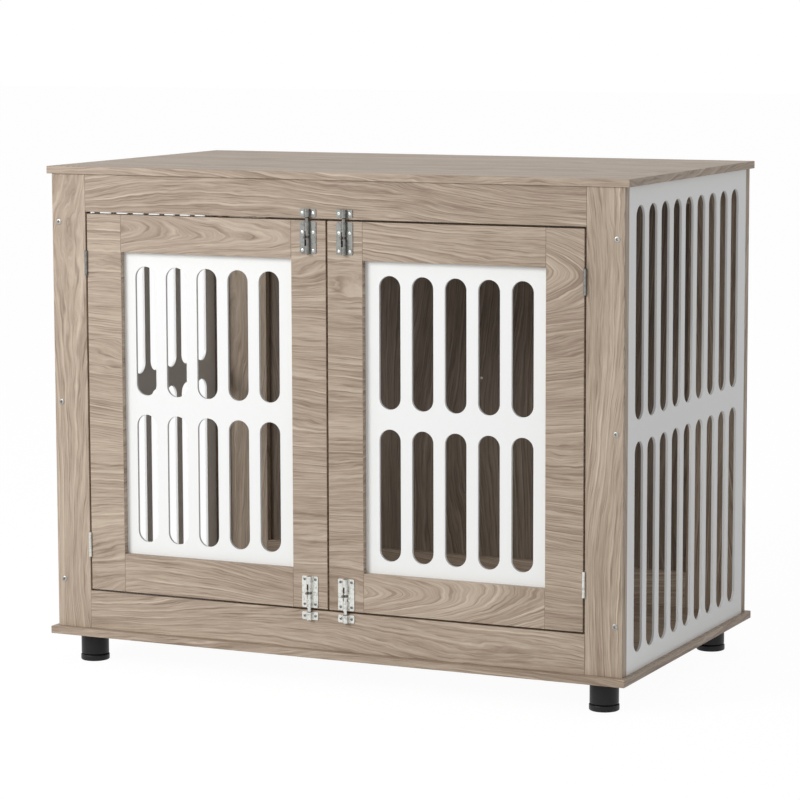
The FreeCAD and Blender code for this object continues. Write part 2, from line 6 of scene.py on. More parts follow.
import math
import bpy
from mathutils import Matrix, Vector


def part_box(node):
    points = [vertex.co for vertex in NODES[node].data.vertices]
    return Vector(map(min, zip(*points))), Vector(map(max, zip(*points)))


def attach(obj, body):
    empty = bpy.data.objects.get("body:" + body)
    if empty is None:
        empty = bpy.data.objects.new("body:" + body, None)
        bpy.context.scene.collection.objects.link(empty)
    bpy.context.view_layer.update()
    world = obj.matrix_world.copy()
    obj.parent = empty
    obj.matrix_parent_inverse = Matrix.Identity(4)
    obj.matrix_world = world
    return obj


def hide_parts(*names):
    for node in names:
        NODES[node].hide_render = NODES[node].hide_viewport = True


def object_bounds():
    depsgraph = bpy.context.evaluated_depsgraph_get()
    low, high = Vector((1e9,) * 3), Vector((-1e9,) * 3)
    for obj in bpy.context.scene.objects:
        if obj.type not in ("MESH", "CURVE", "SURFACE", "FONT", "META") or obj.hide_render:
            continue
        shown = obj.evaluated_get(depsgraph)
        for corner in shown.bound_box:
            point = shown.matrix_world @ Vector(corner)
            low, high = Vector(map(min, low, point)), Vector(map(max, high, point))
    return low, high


bl_info = {
    "name": "Crate end table",
    "version": (1, 0, 0),
    "blender": (4, 5, 0),
    "location": "View3D > Sidebar > Crate table",
    "description": "Finishes the boards, panels, fittings and feet of a crate end table",
    "category": "Object",
}

import bmesh
import bpy
from bpy.props import FloatProperty, FloatVectorProperty, IntProperty, PointerProperty
from mathutils import Matrix, Vector

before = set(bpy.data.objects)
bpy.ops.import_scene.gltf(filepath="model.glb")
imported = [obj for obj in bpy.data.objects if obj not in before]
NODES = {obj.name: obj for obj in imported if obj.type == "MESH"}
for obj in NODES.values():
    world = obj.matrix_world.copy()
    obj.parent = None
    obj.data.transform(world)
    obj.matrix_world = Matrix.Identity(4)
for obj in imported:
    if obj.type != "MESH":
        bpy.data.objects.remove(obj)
CAD_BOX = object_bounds()

MM = 0.001
# The front face of the doors and of the frame round them
FRONT = -283.0 * MM
SIDES = ("left", "right")
CORNERS = ("front_left", "front_right", "back_left", "back_right")

# The way that each board's grain runs, and how light its stretch of the print is. The light
# tone of back_stile_left is painted light and the dark tone of back_stile_right painted shade,
# for light that falls into the crate from the left. A board's place in this list picks the
# stretch.
BOARDS = {
    "top_board": ("x", -0.02), "bottom_board": ("x", -0.08),
    "front_top_rail": ("x", -0.12), "right_door_bottom_rail": ("x", 0.01),
    "back_top_rail": ("x", 0.0), "back_bottom_rail": ("x", 0.0), "back_brace": ("z", 0.0),
    # back_stile_left: lighter tone as painted light
    "front_stile_left": ("z", 0.01), "back_stile_left": ("z", 0.18),
    "front_post_left": ("z", -0.05), "back_post_left": ("z", -0.05),
    "left_door_hinge_stile": ("x", -0.01), "left_door_latch_stile": ("x", -0.06),
    "left_door_top_rail": ("x", -0.05), "left_door_bottom_rail": ("x", -0.07),
    # back_stile_right: darker tone as painted shade
    "front_stile_right": ("z", -0.04), "back_stile_right": ("z", -0.10),
    "front_post_right": ("z", -0.05), "back_post_right": ("z", -0.05),
    "right_door_hinge_stile": ("x", -0.07), "right_door_latch_stile": ("x", -0.07),
    "right_door_top_rail": ("x", -0.03), "front_bottom_rail": ("x", -0.05)}

# Boards cut through the heart of the print: the place, across and up, that its arches are
# nested about, and how many of them follow each other in a metre, to the right
HEARTS = {"right_door_bottom_rail": (214.0 * MM, 156.0 * MM, 21.0),
          "right_door_hinge_stile": (397.0 * MM, 680.0 * MM, 40.0),
          "left_door_top_rail": (-214.0 * MM, 706.0 * MM, 16.0)}

# The camera's place, its yaw, pitch and roll in degrees, and its lens in millimetres
CAMERA_PLACE = (2.12071, -4.55149, 1.06971)
CAMERA_TURN = (25.061, -7.336, -0.154)
CAMERA_LENS = 139.158


def srgb(red, green, blue):
    """Scene-linear values of a colour given as 0 to 255."""
    def linear(level):
        level /= 255
        return level / 12.92 if level <= 0.04045 else ((level + 0.055) / 1.055) ** 2.4
    return tuple(linear(level) for level in (red, green, blue))


def length(name, default, description):
    """A length that a user may change."""
    return FloatProperty(name=name, description=description, default=default, min=0.0,
                         unit="LENGTH", precision=5)


def amount(name, default, description, high=1.0):
    """A plain factor that a user may change."""
    return FloatProperty(name=name, description=description, default=default, min=0.0, max=high)


def colour(name, default, description):
    """A colour that a user may change."""
    return FloatVectorProperty(name=name, description=description, default=default, size=3,
                               min=0.0, max=1.0, subtype="COLOR")


# Sizes and colours


class WoodLook(bpy.types.PropertyGroup):
    """The printed woodgrain of boards and back panel"""

    light: colour("Light", srgb(206, 190, 171), "Thin pale growth lines")
    middle: colour("Middle", srgb(174, 156, 138), "Main colour of the wood")
    dark: colour("Dark", srgb(133, 114, 96), "Dark side of the growth lines, and the pores")
    line_gap: length("Line gap", 15.0 * MM, "Distance from one growth line to the next")
    arch: amount("Arch", 4.6, "How many lines the grain wanders to the side", 20.0)
    arch_tip: length("Arch tip", 14.0 * MM, "Rounding of the tips of nested arches")
    arch_reach: length("Arch reach", 60.0 * MM, "How far beside them arches bend the lines")
    line_depth: amount("Line depth", 0.60, "Strength of the growth lines")
    fine_depth: amount("Fine depth", 0.24, "Strength of the finer lines between them")
    fibre_depth: amount("Fibre depth", 0.52, "Strength of the fibres")
    band_depth: amount("Band depth", 0.32, "Strength of the broad light and dark bands")
    pore_depth: amount("Pore depth", 0.24, "Darkness of the pores")
    relief: length("Relief", 0.05 * MM, "Height of the grain's relief")
    roughness: amount("Roughness", 0.52, "Roughness of the laminate")
    # Painted shade: the back panel's print is dimmed by this much, for the dark inside of the
    # crate.
    back_painted_shade: amount("Back shade", 0.56, "Colour of the back panel, against the boards")


class PanelLook(bpy.types.PropertyGroup):
    """The white slotted panels of doors and sides"""

    white: colour("White", srgb(243, 244, 243), "Colour of the laminate")
    lip: length("Lip", 0.6 * MM, "Rounding of the slots' edges")
    arc_steps: IntProperty(name="Arc steps", default=12, min=4, max=64,
                           description="Straight steps in a quarter of a slot's end")
    slot_width: length("Slot width", 36.0 * MM, "Width of each slot")
    door_slots: IntProperty(name="Door slots", default=5, min=1, max=20,
                            description="Slots in a row of a door's panel")
    door_pitch: length("Door pitch", 55.4 * MM, "Distance of the slots in a door")
    door_bottom: length("Door bottom", 27.5 * MM, "Lower edge of a door's panel to its slots")
    door_top: length("Door top", 29.5 * MM, "Upper edge of a door's panel to its slots")
    door_web: length("Door web", 31.0 * MM, "Between the rows of a door")
    left_shift: length("Left shift", 3.0 * MM, "The left door's slots, to the hinge side")
    side_slots: IntProperty(name="Side slots", default=9, min=1, max=30,
                            description="Slots in a row of a side panel")
    side_pitch: length("Side pitch", 54.0 * MM, "Distance of the slots in a side")
    side_bottom: length("Side bottom", 28.5 * MM, "Lower edge of a side panel to its slots")
    side_top: length("Side top", 30.0 * MM, "Upper edge of a side panel to its slots")
    side_web: length("Side web", 33.0 * MM, "Between the rows of a side")
    side_shift: length("Side shift", 3.5 * MM, "The right side's slots, towards the front")
    left_side_shift: length("Left side shift", 15.5 * MM, "The left side's slots, likewise")
    roughness: amount("Roughness", 0.38, "Roughness of the laminate")


class MetalLook(bpy.types.PropertyGroup):
    """Hinges, barrel bolts and screws"""

    zinc: colour("Zinc", srgb(227, 227, 222), "Zinc plating of bolts and hinges")
    # Painted shade: the zinc of the upper hinges and bolts is dimmed by this much.
    upper_painted_shade: amount("Upper zinc", 0.36, "How bright the upper fittings' zinc is")
    # Painted shade: the knobs are made darker than the plates, to stand for the shadows about
    # them.
    knob: colour("Knob", srgb(128, 122, 116), "Duller plating of the bolts' knobs")
    # The small screws' plating is kept bright, which also paints the highlights on the upper
    # screws; the lower screws are dimmed with painted shade.
    screw: colour("Screw", srgb(240, 240, 236), "Plating of the small screws")
    lower_screw_painted_shade: amount("Lower screws", 0.34, "How bright the lower fittings' screws are")
    socket: colour("Socket screw", srgb(176, 174, 168), "Plating of the socket screws")
    roughness: amount("Roughness", 0.33, "Roughness of the plating")
    socket_head: length("Socket head", 4.6 * MM, "Radius of a socket screw's head")
    socket_crown: length("Socket crown", 0.9 * MM, "Height of a socket screw's head")
    socket_width: length("Socket width", 4.0 * MM, "Hexagon socket, across its flats")
    socket_depth: length("Socket depth", 2.2 * MM, "Depth of the hexagon socket")
    socket_shank: length("Socket shank", 2.5 * MM, "Shank radius of a socket screw")
    cross_head: length("Cross head", 2.4 * MM, "Radius of a small screw's head")
    cross_crown: length("Cross crown", 0.5 * MM, "Height of a small screw's head")
    cross_cone: length("Cross cone", 1.15 * MM, "Height of a small screw's countersink")
    cross_width: length("Cross width", 0.9 * MM, "Width of the cross in a small screw")
    cross_depth: length("Cross depth", 1.0 * MM, "Depth of the cross in a small screw")
    cross_shank: length("Cross shank", 1.25 * MM, "Shank radius of a small screw")


class FootLook(bpy.types.PropertyGroup):
    """The black levelling feet"""

    black: colour("Black", srgb(20, 20, 21), "Colour of the moulded plastic")
    sheen: amount("Sheen", 0.28, "How much light the plastic mirrors")
    roughness: amount("Roughness", 0.42, "Roughness of the moulded plastic")
    corner: length("Corner", 0.7 * MM, "Rounding of the moulded corners")
    wall: length("Wall", 3.0 * MM, "Wall of the sleeve and of its boss")
    top_wall: length("Top wall", 4.0 * MM, "Wall of the sleeve under the board")
    stem: length("Stem", 8.0 * MM, "Radius of the adjuster's stem")
    stem_gap: length("Stem gap", 0.1 * MM, "Gap between stem and boss")
    boss_lift: length("Boss lift", 3.7 * MM, "Boss above the sleeve's lower edge")
    ring: length("Ring", 10.0 * MM, "Height of the adjuster's ring")
    chamfer: length("Chamfer", 1.2 * MM, "Chamfers that make the groove over the ring")


class StageLook(bpy.types.PropertyGroup):
    """Floor and light"""

    floor_size: length("Floor size", 60.0, "Side of the floor")
    floor: colour("Floor", (1.0, 1.0, 1.0), "Colour of the floor in the picture")
    shadow: amount("Shadow", 0.07, "How much of the object's shadow the floor shows")
    floor_light: amount("Floor light", 1.03, "Brightness of the floor in the picture", 2.0)
    sky: amount("Sky", 0.45, "Light from all round", 4.0)
    key: FloatProperty(name="Key", description="Power of the light from the front left",
                       default=117.0, min=0.0, subtype="POWER", unit="POWER")
    key_size: length("Key size", 1.8, "Side of the square key light")
    key_place: FloatVectorProperty(name="Key place", description="Middle of the key light",
                                   default=(-2.2, -3.6, 2.35), size=3, subtype="TRANSLATION")


# Node trees


def add(tree, kind, inputs=(), **settings):
    """A new node with its settings, and its inputs linked or set."""
    made = tree.nodes.new(kind)
    for name, value in settings.items():
        setattr(made, name, value)
    for key, value in dict(inputs).items():
        feed(tree, made.inputs[key], value)
    return made


def feed(tree, socket, value):
    """Link an output to the socket, or set its value."""
    if isinstance(value, bpy.types.NodeSocket):
        tree.links.new(value, socket)
    else:
        socket.default_value = value


def math_node(tree, operation, first, second=0.0, third=None):
    """The result of a sum on values or outputs."""
    made = add(tree, "ShaderNodeMath", {0: first, 1: second}, operation=operation)
    if third is not None:
        feed(tree, made.inputs[2], third)
    return made.outputs[0]


def noise(tree, vector, scale, detail=2.0, roughness=0.5):
    """A smooth noise from 0 to 1, with its own scale along each axis."""
    spread = add(tree, "ShaderNodeVectorMath", {0: vector, 1: scale}, operation="MULTIPLY")
    made = add(tree, "ShaderNodeTexNoise",
               {"Vector": spread.outputs[0], "Scale": 1.0, "Detail": detail,
                "Roughness": roughness})
    return made.outputs["Fac"]


def stretched(tree, value, low, high, first=0.0, last=1.0):
    """The value, moved from the range of first and last to that of low and high."""
    made = add(tree, "ShaderNodeMapRange", {0: value, 1: first, 2: last, 3: low, 4: high})
    return made.outputs[0]


def centred(tree, value, reach):
    """A noise as a number from about -reach to +reach."""
    return math_node(tree, "MULTIPLY", math_node(tree, "SUBTRACT", value, 0.5), 2 * reach)


def ramp(tree, value, stops):
    """A colour ramp's output, for stops of position and colour."""
    made = add(tree, "ShaderNodeValToRGB", {"Fac": value})
    stretch = made.color_ramp.elements
    while len(stretch) < len(stops):
        stretch.new(0.5)
    for element, (position, tint) in zip(stretch, stops):
        element.position = position
        element.color = (*tint, 1.0)
    return made.outputs["Color"]


def grey(level):
    """A grey as a colour."""
    return (level, level, level)


def group_sockets(tree, inputs, outputs):
    """The named inputs and outputs of a node group, each with its kind."""
    for way, named in (("INPUT", inputs), ("OUTPUT", outputs)):
        for name, kind in named.items():
            tree.interface.new_socket(name, in_out=way, socket_type=f"NodeSocket{kind}")


def new_material(name):
    """A node material with its Principled shader and its object coordinates."""
    material = bpy.data.materials.new(name)
    material.use_nodes = True
    tree = material.node_tree
    shader = tree.nodes["Principled BSDF"]
    place = add(tree, "ShaderNodeTexCoord").outputs["Object"]
    return material, tree, shader, place


def coat(tree, shader, tint, gloss, height, depth):
    """Colour and roughness of a finish, and relief of that depth from a height of 0 to 1."""
    relief = add(tree, "ShaderNodeBump",
                 {"Height": height, "Distance": depth, "Strength": 1.0})
    for name, value in (("Base Color", tint), ("Roughness", gloss),
                        ("Normal", relief.outputs["Normal"])):
        feed(tree, shader.inputs[name], value)


# Woodgrain

GRAIN_TURN = {"x": (0.0, 0.0, 0.0), "z": (0.0, math.radians(90), 0.0)}
# How far apart the stretches of the print are that neighbours in BOARDS are cut from
NEXT_STRETCH = Vector((1.37, 2.91, 4.13))


def centred_noise(tree, vector, scale, reach, detail=2.0, roughness=0.5):
    """A noise from about -reach to +reach."""
    return centred(tree, noise(tree, vector, scale, detail, roughness), reach)


def total_of(tree, *values):
    """The sum of several values."""
    result = values[0]
    for value in values[1:]:
        result = math_node(tree, "ADD", result, value)
    return result


def line_profile(tree, rings, stops):
    """The tone across each growth line, from -0.5 to 0.5, for rings that count the lines."""
    step = math_node(tree, "FRACT", rings)
    tone = ramp(tree, step, tuple((at, grey(level)) for at, level in stops))
    return math_node(tree, "SUBTRACT", tone, 0.5)


def growth_rings(tree, place, arches, look):
    """A count of growth lines, which rises across the grain and wanders along it.

    Its contours are the lines, so that they bend, close up and turn back in arches.
    """
    part = add(tree, "ShaderNodeSeparateXYZ", {0: place}).outputs
    arch = centred_noise(tree, place, (1.7, 7.5, 7.5), look.arch, 0.0)
    bend = centred_noise(tree, place, (5.0, 22.0, 22.0), 0.15 * look.arch, 1.0)
    ripple = centred_noise(tree, place, (30.0, 90.0, 90.0), 0.03 * look.arch, 1.0)
    across = math_node(tree, "ADD", part["Y"], part["Z"])
    rise = math_node(tree, "DIVIDE", across, look.line_gap)
    return total_of(tree, rise, arch, bend, ripple, arches)


def growth_lines(tree, place, rings, look):
    """The tone of the growth lines, which fade in and out, with finer ones between."""
    line = line_profile(tree, rings, ((0.0, 1.0), (0.08, 0.84), (0.18, 0.56), (0.66, 0.48),
                                      (0.88, 0.24), (0.94, 0.40), (1.0, 1.0)))
    patch = noise(tree, place, (5.0, 22.0, 22.0), 1.0)
    patch = stretched(tree, patch, 0.10, 1.0, first=0.36, last=0.64)
    line = math_node(tree, "MULTIPLY", line,
                     math_node(tree, "MULTIPLY", patch, look.line_depth))
    finer = math_node(tree, "MULTIPLY_ADD", rings, 3.3, 0.4)
    fine = line_profile(tree, finer, ((0.0, 0.85), (0.25, 0.55), (0.8, 0.40), (1.0, 0.30)))
    fine = math_node(tree, "MULTIPLY", fine, look.fine_depth)
    return math_node(tree, "ADD", line, fine)


def fibre_marks(tree, place, rings, look):
    """The tones of bands, fibres and pores along the growth lines, and the bare fibres."""
    part = add(tree, "ShaderNodeSeparateXYZ", {0: place}).outputs
    swayed = math_node(tree, "MULTIPLY", rings, look.line_gap)
    flow = add(tree, "ShaderNodeCombineXYZ", {0: part["X"], 1: swayed, 2: part["Z"]})
    flow = flow.outputs[0]
    band = centred_noise(tree, flow, (1.8, 34.0, 3.0), look.band_depth, 2.0, 0.6)
    fibre = noise(tree, flow, (14.0, 460.0, 12.0), 4.0, 0.72)
    streak = centred(tree, fibre, look.fibre_depth)
    pore = noise(tree, flow, (16.0, 560.0, 12.0), 1.0)
    pore = stretched(tree, pore, 0.0, -look.pore_depth, first=0.55, last=0.70)
    return (band, streak, pore), fibre


def figure_group(look):
    """The figure of the wood, for places whose X runs along the grain."""
    tree = bpy.data.node_groups.new("Woodgrain figure", "ShaderNodeTree")
    group_sockets(tree, {"Place": "Vector", "Arches": "Float"},
                  {"Figure": "Float", "Fibre": "Float"})
    given = add(tree, "NodeGroupInput").outputs
    place = given["Place"]
    rings = growth_rings(tree, place, given["Arches"], look)
    lines = growth_lines(tree, place, rings, look)
    marks, fibre = fibre_marks(tree, place, rings, look)
    add(tree, "NodeGroupOutput", {"Figure": total_of(tree, lines, *marks), "Fibre": fibre})
    return tree


def along_ends(tree, sheet, grain):
    """The sheet's places, turned on the ends of a board, where edge banding covers it."""
    part = add(tree, "ShaderNodeSeparateXYZ", {0: sheet}).outputs
    turned = add(tree, "ShaderNodeCombineXYZ", {0: part["Y"], 1: part["X"], 2: part["Z"]})
    facing = add(tree, "ShaderNodeTexCoord").outputs["Normal"]
    facing = add(tree, "ShaderNodeSeparateXYZ", {0: facing}).outputs[grain.upper()]
    end = math_node(tree, "GREATER_THAN", math_node(tree, "ABSOLUTE", facing), 0.7)
    both = add(tree, "ShaderNodeMix", {0: end, 4: sheet, 5: turned.outputs[0]},
               data_type="VECTOR")
    return both.outputs[1]


def nested_arches(tree, sheet, heart, look):
    """What is added to the growth rings to nest arches about a line along the board."""
    start, height, count = heart
    part = add(tree, "ShaderNodeSeparateXYZ", {0: sheet}).outputs
    off = math_node(tree, "SUBTRACT", math_node(tree, "ADD", part["Y"], part["Z"]),
                    FRONT + height)
    along = math_node(tree, "SUBTRACT", part["X"], start)
    square = math_node(tree, "MULTIPLY", off, off)
    bow = math_node(tree, "SQRT", math_node(tree, "ADD", square, look.arch_tip ** 2))
    bend = math_node(tree, "DIVIDE", math_node(tree, "SUBTRACT", bow, off), look.line_gap)
    fade = math_node(tree, "MULTIPLY_ADD", square, look.arch_reach ** -2, 1.0)
    pull = math_node(tree, "DIVIDE", math_node(tree, "MULTIPLY", along, count), fade)
    return math_node(tree, "ADD", bend, pull)


def woodgrain(name, figure, grain, place_no, look, tone=0.0, shade=1.0, heart=None):
    """The printed wood of one board.

    grain is the axis that it runs along, place_no picks the stretch of the print that the
    board was cut from, tone moves it to its light or dark side (on the back stiles this also
    paints light and shade), shade dims it as painted shade, and heart is where its arches are
    nested, if it has any.
    """
    material, tree, shader, place = new_material(name)
    sheet = add(tree, "ShaderNodeMapping",
                {"Vector": place, "Rotation": GRAIN_TURN[grain]}, vector_type="POINT")
    banded = along_ends(tree, sheet.outputs[0], grain)
    cut = NEXT_STRETCH * place_no
    print_at = add(tree, "ShaderNodeVectorMath", {0: banded, 1: cut},
                   operation="ADD").outputs[0]
    drawn = add(tree, "ShaderNodeGroup", node_tree=figure)
    feed(tree, drawn.inputs["Place"], print_at)
    if heart is not None:
        feed(tree, drawn.inputs["Arches"], nested_arches(tree, banded, heart, look))
    depth = math_node(tree, "ADD", drawn.outputs["Figure"], 0.5 + tone)
    tints = [tuple(level * shade for level in tint)
             for tint in (look.dark, look.middle, look.light)]
    tint = ramp(tree, depth, tuple(zip((0.14, 0.50, 0.88), tints)))
    gloss = stretched(tree, drawn.outputs["Fibre"],
                      look.roughness + 0.08, look.roughness - 0.08)
    coat(tree, shader, tint, gloss, depth, look.relief)
    return material


def dress(name, material):
    """Give a packed board or fitting its finish."""
    thing = NODES[name]
    if thing.material_slots:
        thing.material_slots[0].material = material
    else:
        thing.data.materials.append(material)


# Plain finishes


def white_laminate(look):
    """White laminate with the faint unevenness of a pressed sheet."""
    material, tree, shader, place = new_material("White laminate")
    cloud = noise(tree, place, (3.0, 3.0, 3.0), 2.0)
    edge = [level * 0.985 for level in look.white]
    tint = ramp(tree, cloud, ((0.3, edge), (0.7, tuple(look.white))))
    peel = noise(tree, place, (420.0, 420.0, 420.0), 1.0)
    gloss = stretched(tree, peel, look.roughness - 0.04, look.roughness + 0.04)
    coat(tree, shader, tint, gloss, peel, 0.01 * MM)
    return material


def plated_steel(name, tint, roughness, brush, upper=1.0, lower=1.0):
    """Zinc plate: cloudy tone, fine rolling marks along one axis, and a soft gloss.

    brush is how fine the marks are along each axis. upper and lower dim the plate over and
    under the middle of the doors, as painted shade.
    """
    under, over = 420.0 * MM, 440.0 * MM
    material, tree, shader, place = new_material(name)
    cloud = noise(tree, place, (230.0, 230.0, 230.0), 4.0, 0.7)
    marks = noise(tree, place, brush, 2.0, 0.6)
    both = math_node(tree, "MULTIPLY_ADD", marks, 0.35,
                     math_node(tree, "MULTIPLY", cloud, 0.65))
    dull = tuple(level * 0.40 for level in tint)
    grey_zinc = tuple(level * 0.80 for level in tint)
    plate = ramp(tree, both, ((0.36, dull), (0.46, grey_zinc), (0.58, tuple(tint))))
    # Painted shade: the plate's colour is dimmed by upper above the middle of the doors and by
    # lower below it.
    height = add(tree, "ShaderNodeSeparateXYZ", {0: place}).outputs["Z"]
    level = stretched(tree, height, lower, upper, first=under, last=over)
    shaded = add(tree, "ShaderNodeVectorMath", {0: plate, 1: level}, operation="MULTIPLY")
    shader.inputs["Metallic"].default_value = 1.0
    gloss = stretched(tree, both, roughness + 0.18, roughness - 0.08, first=0.35, last=0.65)
    coat(tree, shader, shaded.outputs[0], gloss, both, 0.03 * MM)
    return material


def black_plastic(look):
    """Moulded black plastic with a fine spark-eroded grain."""
    material, tree, shader, place = new_material("Black moulded plastic")
    grain = noise(tree, place, (1500.0, 1500.0, 1500.0), 2.0)
    cloud = noise(tree, place, (60.0, 60.0, 60.0), 2.0)
    lighter = tuple(level * 1.25 for level in look.black)
    tint = ramp(tree, cloud, ((0.3, tuple(look.black)), (0.7, lighter)))
    shader.inputs["Specular IOR Level"].default_value = look.sheen
    gloss = stretched(tree, grain, look.roughness - 0.06, look.roughness + 0.08)
    coat(tree, shader, tint, gloss, grain, 0.02 * MM)
    return material


def raw_beech():
    """Raw beech of the dowels."""
    dark, light, roughness = srgb(196, 160, 118), srgb(220, 188, 146), 0.7
    material, tree, shader, place = new_material("Raw beech")
    fleck = noise(tree, place, (300.0, 300.0, 300.0), 3.0)
    feed(tree, shader.inputs["Base Color"], ramp(tree, fleck, ((0.3, dark), (0.7, light))))
    shader.inputs["Roughness"].default_value = roughness
    return material


# Meshes


def mesh_object(name, mesh):
    """A new object for a mesh."""
    made = bpy.data.objects.new(name, mesh)
    bpy.context.scene.collection.objects.link(made)
    return made


def baked(name, source, matrix=None):
    """A plain mesh object from what the source's modifiers make. The source is removed."""
    bpy.context.view_layer.update()
    graph = bpy.context.evaluated_depsgraph_get()
    mesh = bpy.data.meshes.new_from_object(source.evaluated_get(graph))
    mesh.name = name
    if matrix is not None:
        mesh.transform(matrix)
    made = mesh_object(name, mesh)
    bpy.data.objects.remove(source)
    return made


def settle(piece, body, slot, *nodes):
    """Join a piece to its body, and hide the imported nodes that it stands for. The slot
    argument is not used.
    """
    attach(piece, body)
    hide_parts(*nodes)


def lathe(profile, middle):
    """A closed solid of revolution from (radius, height) points, on an upright axis.

    The profile starts and ends on the axis.
    """
    segments = 96
    work = bmesh.new()
    rings = []
    for radius, height in profile:
        if radius == 0.0:
            rings.append([work.verts.new((middle.x, middle.y, height))])
            continue
        rings.append([work.verts.new((middle.x + radius * math.cos(turn),
                                      middle.y + radius * math.sin(turn), height))
                      for turn in (math.tau * n / segments for n in range(segments))])
    for one, two in zip(rings, rings[1:]):
        for n in range(segments):
            corners = [one[n % len(one)], one[(n + 1) % len(one)],
                       two[(n + 1) % len(two)], two[n % len(two)]]
            work.faces.new(list(dict.fromkeys(corners)))
    bmesh.ops.recalc_face_normals(work, faces=work.faces)
    return work


def rounded(points, radius, steps=3):
    """The profile with its inner corners rounded by arcs of that radius."""
    edge_share = 0.45
    smooth = [points[0]]
    for before, corner, after in zip(points, points[1:], points[2:]):
        at = Vector(corner)
        one, two = Vector(before) - at, Vector(after) - at
        reach = min(radius, edge_share * one.length, edge_share * two.length)
        start, end = at + one.normalized() * reach, at + two.normalized() * reach
        for n in range(steps + 1):
            t = n / steps
            point = start * (1 - t) ** 2 + at * 2 * t * (1 - t) + end * t ** 2
            smooth.append((point.x, point.y))
    return smooth + [points[-1]]


def finish_mesh(work, name):
    """A smooth-shaded mesh of the work, with edges kept sharp past an angle."""
    sharp = math.radians(35)
    mesh = bpy.data.meshes.new(name)
    work.to_mesh(mesh)
    work.free()
    mesh.shade_smooth()
    mesh.set_sharp_from_angle(angle=sharp)
    return mesh


def solids_of(node):
    """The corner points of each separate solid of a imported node."""
    work = bmesh.new()
    work.from_mesh(NODES[node].data)
    bmesh.ops.remove_doubles(work, verts=work.verts, dist=0.001 * MM)
    left = set(work.verts)
    groups = []
    while left:
        edge = [left.pop()]
        group = list(edge)
        while edge:
            near = {e.other_vert(v) for v in edge for e in v.link_edges} & left
            left -= near
            edge = list(near)
            group += edge
        groups.append([v.co.copy() for v in group])
    work.free()
    return groups


# Slotted panels


PANEL_INPUTS = {"Length": "Float", "Height": "Float", "Thickness": "Float", "Slots": "Int",
                "Slot width": "Float", "Pitch": "Float", "Shift": "Float",
                "Bottom": "Float", "Top": "Float", "Web": "Float", "Arc steps": "Int",
                "Finish": "Material"}


def joined(tree, *parts):
    """Several geometries as one."""
    made = add(tree, "GeometryNodeJoinGeometry")
    for part in parts:
        tree.links.new(part, made.inputs[0])
    return made.outputs[0]


def slot_rows(tree, size):
    """The outlines of two rows of round-ended slots, in their places on the sheet."""
    nearly_half = 0.4999
    used = math_node(tree, "ADD", math_node(tree, "ADD", size["Bottom"], size["Top"]),
                     size["Web"])
    slot_height = math_node(tree, "DIVIDE",
                            math_node(tree, "SUBTRACT", size["Height"], used), 2.0)
    slot = add(tree, "GeometryNodeCurvePrimitiveQuadrilateral",
               {"Width": size["Slot width"], "Height": slot_height})
    slot = add(tree, "GeometryNodeFilletCurve",
               {"Curve": slot.outputs[0], "Count": size["Arc steps"],
                "Radius": math_node(tree, "MULTIPLY", size["Slot width"], nearly_half),
                "Limit Radius": True}, mode="POLY")
    row_length = math_node(tree, "MULTIPLY", size["Pitch"],
                           math_node(tree, "SUBTRACT", size["Slots"], 1.0))
    seats = add(tree, "GeometryNodeMeshGrid",
                {"Size X": row_length,
                 "Size Y": math_node(tree, "ADD", slot_height, size["Web"]),
                 "Vertices X": size["Slots"], "Vertices Y": 2})
    lift = math_node(tree, "MULTIPLY",
                     math_node(tree, "SUBTRACT", size["Bottom"], size["Top"]), 0.5)
    at = add(tree, "ShaderNodeCombineXYZ", {0: size["Shift"], 1: lift})
    seats = add(tree, "GeometryNodeTransform",
                {"Geometry": seats.outputs[0], "Translation": at.outputs[0]})
    slots = add(tree, "GeometryNodeInstanceOnPoints",
                {"Points": seats.outputs[0], "Instance": slot.outputs[0]})
    return add(tree, "GeometryNodeRealizeInstances", {0: slots.outputs[0]}).outputs[0]


def panel_tree():
    """A flat sheet with two rows of round-ended slots, from its named sizes."""
    tree = bpy.data.node_groups.new("Slotted panel", "GeometryNodeTree")
    group_sockets(tree, PANEL_INPUTS, {"Geometry": "Geometry"})
    size = add(tree, "NodeGroupInput").outputs
    slots = slot_rows(tree, size)
    sheet = add(tree, "GeometryNodeCurvePrimitiveQuadrilateral",
                {"Width": size["Length"], "Height": size["Height"]})
    outline = joined(tree, sheet.outputs[0], slots)
    face = add(tree, "GeometryNodeFillCurve", {0: outline}, mode="NGONS")
    rise = add(tree, "ShaderNodeCombineXYZ", {2: size["Thickness"]})
    raised = add(tree, "GeometryNodeExtrudeMesh",
                 {"Mesh": face.outputs[0], "Offset": rise.outputs[0], "Individual": False})
    under = add(tree, "GeometryNodeFlipFaces", {0: face.outputs[0]})
    shell = add(tree, "GeometryNodeMergeByDistance",
                {"Geometry": joined(tree, raised.outputs[0], under.outputs[0]),
                 "Distance": 0.01 * MM})
    shell = add(tree, "GeometryNodeSetShadeSmooth", {"Geometry": shell.outputs[0]})
    shell = add(tree, "GeometryNodeRealizeInstances", {0: shell.outputs[0]})
    shell = add(tree, "GeometryNodeSetMaterial",
                {"Geometry": shell.outputs[0], "Material": size["Finish"]})
    add(tree, "NodeGroupOutput", {0: shell.outputs[0]})
    return tree


def with_tree(source, tree, values):
    """Put a Geometry Nodes modifier on the source, with its inputs set by name."""
    modifier = source.modifiers.new(tree.name, "NODES")
    modifier.node_group = tree
    for socket in tree.interface.items_tree:
        if socket.in_out == "INPUT" and socket.name in values:
            modifier[socket.identifier] = values[socket.name]


